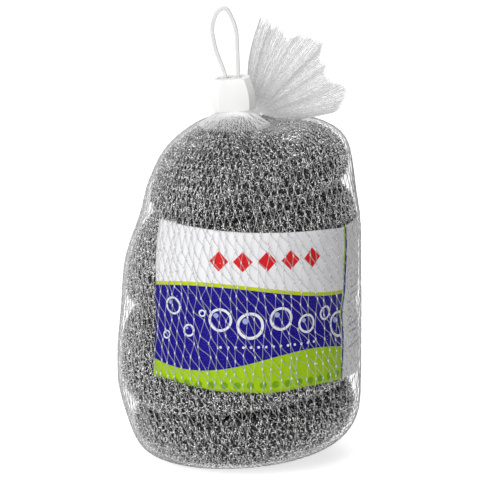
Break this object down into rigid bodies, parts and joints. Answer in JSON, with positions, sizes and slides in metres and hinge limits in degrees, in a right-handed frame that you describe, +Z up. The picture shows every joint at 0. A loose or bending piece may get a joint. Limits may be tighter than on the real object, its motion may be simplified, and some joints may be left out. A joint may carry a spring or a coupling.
{
  "type": "pot scrubber pack",
  "caption": "Knitted wire pot scourers stacked in a tubular net, with a card band and a plastic clip with a hanging loop.",
  "frame": {"origin": "on the table, under the middle of the pack's bounding box", "axes": "+Z up along the stack of scourers, the printed front faces -Y, +X to the right seen from the front"},
  "size_m": [0.0861, 0.087, 0.161],
  "materials": {
    "knitted_wire": "satin",
    "printed_card": "satin",
    "clear_net": "satin",
    "white_plastic": "satin"
  },
  "bodies": {
    "bag": {"scourer_1": "knitted_wire", "scourer_2": "knitted_wire", "scourer_3": "knitted_wire", "scourer_4": "knitted_wire", "card_band": "printed_card", "net_bag": "clear_net", "net_bottom_knot": "clear_net", "net_neck": "clear_net"},
    "clip": {"clip_strap": "white_plastic", "net_fold": "clear_net", "net_tail": "clear_net"},
    "sleeve": {"clip_sleeve": "white_plastic"}
  },
  "joints": [
    {"name": "clip_rock", "type": "hinge", "parent": "bag", "child": "clip", "pos_m": [-0.0017, -0.0024, 0.1238], "axis": [1, 0, 0], "range_deg": [-4, 35]},
    {"name": "sleeve_slide", "type": "slide", "parent": "clip", "child": "sleeve", "axis": [-0.0698, 0, 0.9976], "range_m": [0, 0.0065]}
  ]
}
